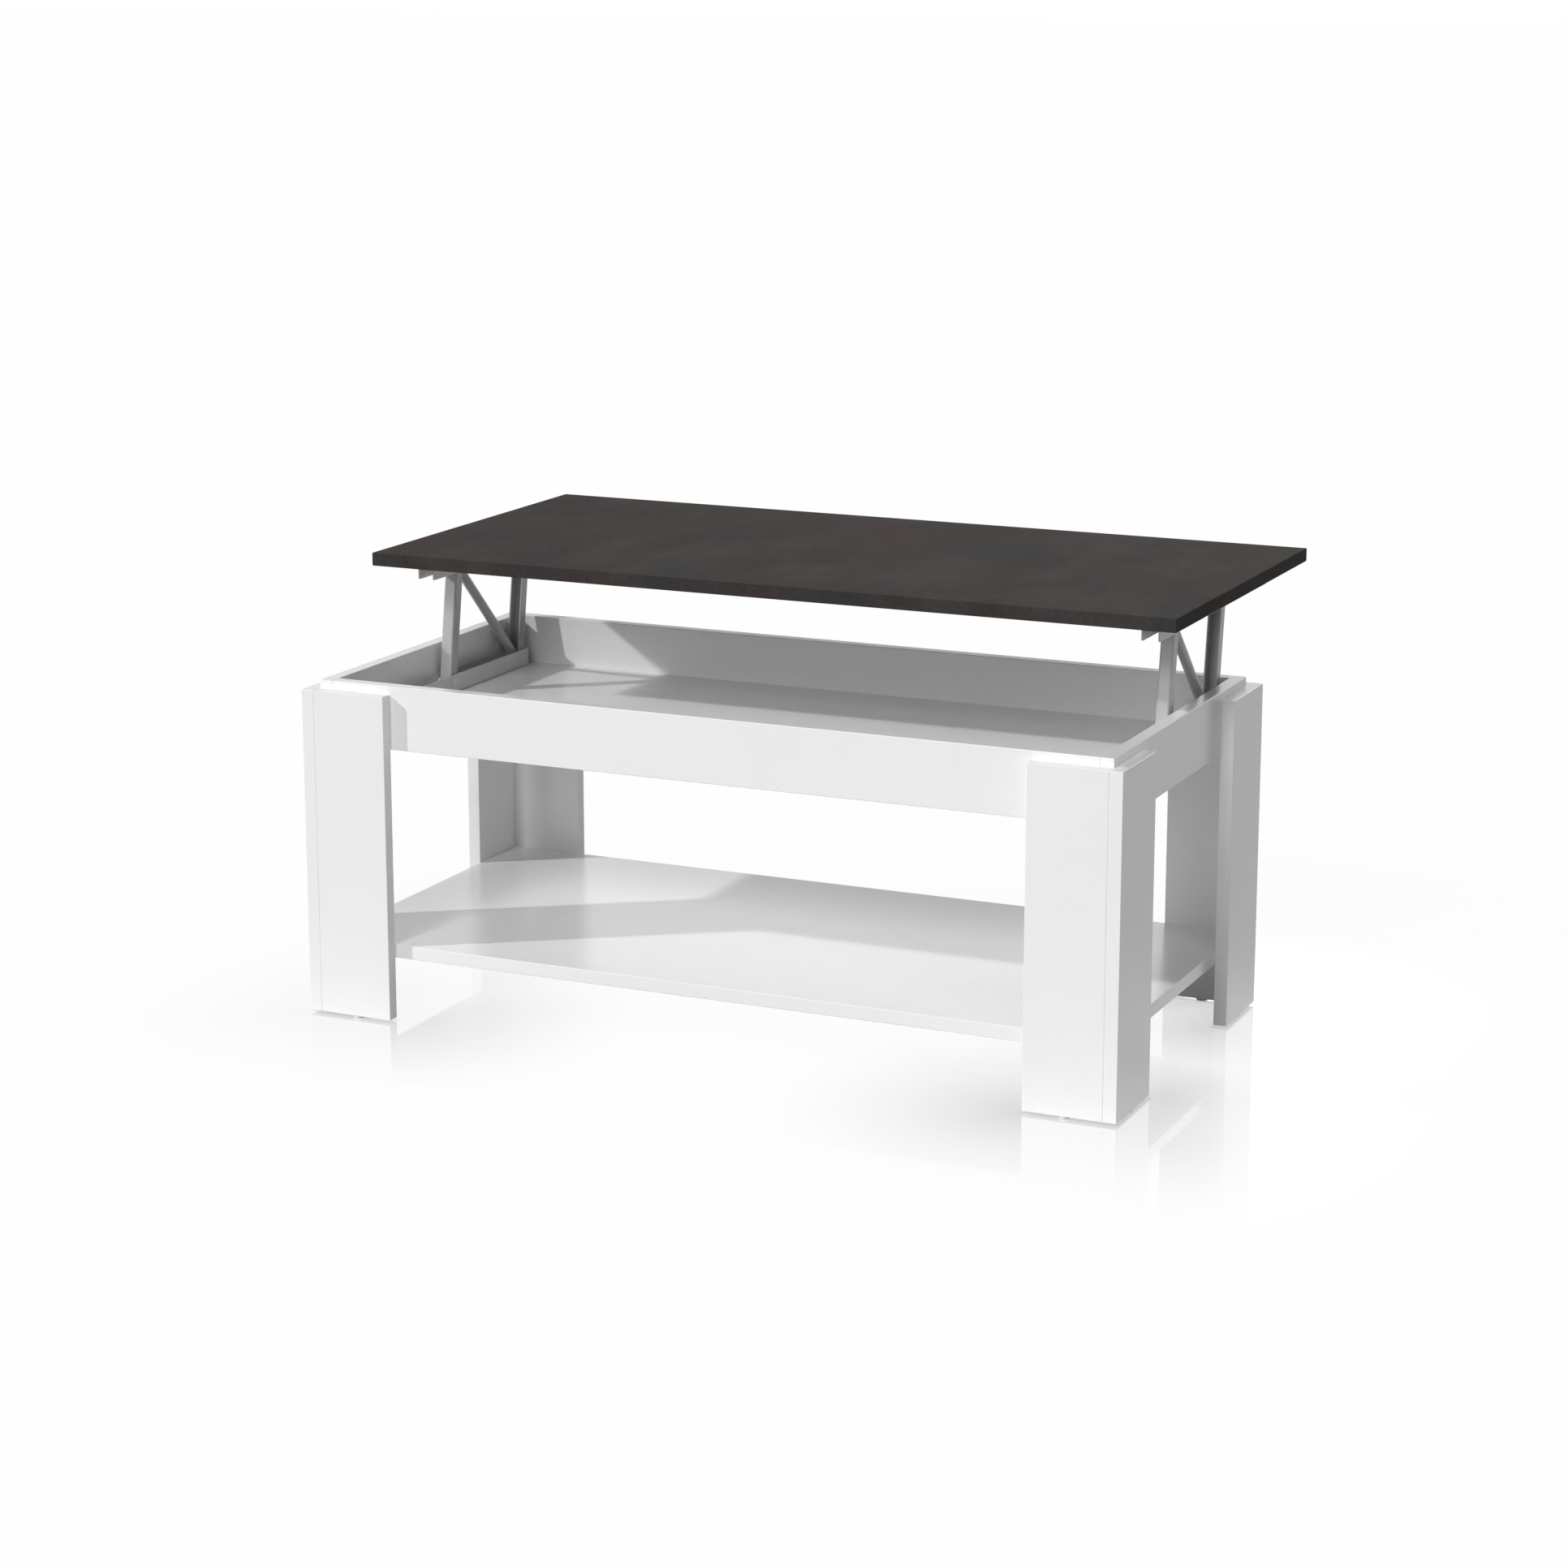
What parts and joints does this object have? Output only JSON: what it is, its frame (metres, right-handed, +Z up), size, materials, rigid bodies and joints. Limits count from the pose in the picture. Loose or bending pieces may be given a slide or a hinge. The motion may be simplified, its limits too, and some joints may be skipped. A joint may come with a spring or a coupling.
{
  "type": "lift top coffee table",
  "caption": "Rectangular coffee table whose top rises level and swings out on paired parallel arms over a storage box, with a lower shelf and L-shaped panel legs.",
  "frame": {"origin": "middle of the base's footprint on the floor", "axes": "+X along the table's length, +Y towards the long side the raised top moves to, +Z up"},
  "size_m": [1.02, 0.6671, 0.5324],
  "materials": {
    "white_melamine": "satin white melamine on board",
    "slate_laminate": "matt dark slate-look laminate on board",
    "beech_dowel": "plain beech",
    "grey_painted_steel": "satin grey powder coat",
    "pale_painted_steel": "satin pale grey powder coat",
    "polished_rod": "ground rod",
    "zinc_steel": "zinc plated",
    "white_nylon": "matt",
    "glide_plastic": "matt"
  },
  "bodies": {
    "base": {"leg_front_left_side": "white_melamine", "leg_front_left_face": "white_melamine", "leg_front_right_side": "white_melamine", "leg_front_right_face": "white_melamine", "leg_rear_left_side": "white_melamine", "leg_rear_left_face": "white_melamine", "leg_rear_right_side": "white_melamine", "leg_rear_right_face": "white_melamine", "apron_front": "white_melamine", "apron_rear": "white_melamine", "apron_left": "white_melamine", "apron_right": "white_melamine", "tray_floor": "white_melamine", "shelf": "white_melamine", "foot_glides": "glide_plastic", "leg_dowels": "beech_dowel", "tray_dowels": "beech_dowel", "corner_screws": "zinc_steel", "leg_screws": "zinc_steel", "leg_screw_caps": "white_nylon", "shelf_cams": "zinc_steel", "shelf_cam_bolts": "zinc_steel", "lower_rail_left": "pale_painted_steel", "lower_rail_right": "pale_painted_steel", "lower_rail_screws": "zinc_steel", "lower_pivot_pins": "pale_painted_steel", "lower_pivot_washers": "white_nylon", "stop_pins": "pale_painted_steel"},
    "rear_arms": {"rear_arm_left": "grey_painted_steel", "rear_arm_right": "grey_painted_steel"},
    "tabletop": {"tabletop": "slate_laminate", "upper_rail_left": "pale_painted_steel", "upper_rail_right": "pale_painted_steel", "upper_rail_screws": "zinc_steel", "upper_pivot_pins": "pale_painted_steel", "upper_pivot_washers": "white_nylon"},
    "front_arms": {"front_arm_left": "grey_painted_steel", "front_arm_right": "grey_painted_steel"},
    "strut_tubes": {"strut_tube_left": "grey_painted_steel", "strut_tube_right": "grey_painted_steel"},
    "strut_rods": {"strut_rod_left": "polished_rod", "strut_rod_right": "polished_rod"}
  },
  "joints": [
    {"name": "lift", "type": "hinge", "parent": "base", "child": "rear_arms", "pos_m": [0, 0.188, 0.357], "axis": [1, 0, 0], "range_deg": [0, 83.6]},
    {"name": "top_level", "type": "hinge", "parent": "rear_arms", "child": "tabletop", "pos_m": [0, 0.21017, 0.50535], "axis": [1, 0, 0], "range_deg": [-83.6, 0]},
    {"name": "front_arm_swing", "type": "hinge", "parent": "base", "child": "front_arms", "pos_m": [0, 0.014, 0.357], "axis": [1, 0, 0], "range_deg": [0, 83.6]},
    {"name": "strut_tube_swing", "type": "hinge", "parent": "base", "child": "strut_tubes", "pos_m": [0, 0.188, 0.357], "axis": [1, 0, 0], "range_deg": [0, 37.16]},
    {"name": "strut_rod_swing", "type": "hinge", "parent": "front_arms", "child": "strut_rods", "pos_m": [0, 0.03617, 0.50535], "axis": [1, 0, 0], "range_deg": [-46.46, 0]}
  ],
  "couplings": [
    {"joint": "top_level", "follows": "lift", "ratio": -1},
    {"joint": "front_arm_swing", "follows": "lift", "ratio": 1},
    {"joint": "strut_tube_swing", "follows": "lift", "ratio": 0.4444},
    {"joint": "strut_rod_swing", "follows": "lift", "ratio": -0.5556}
  ]
}
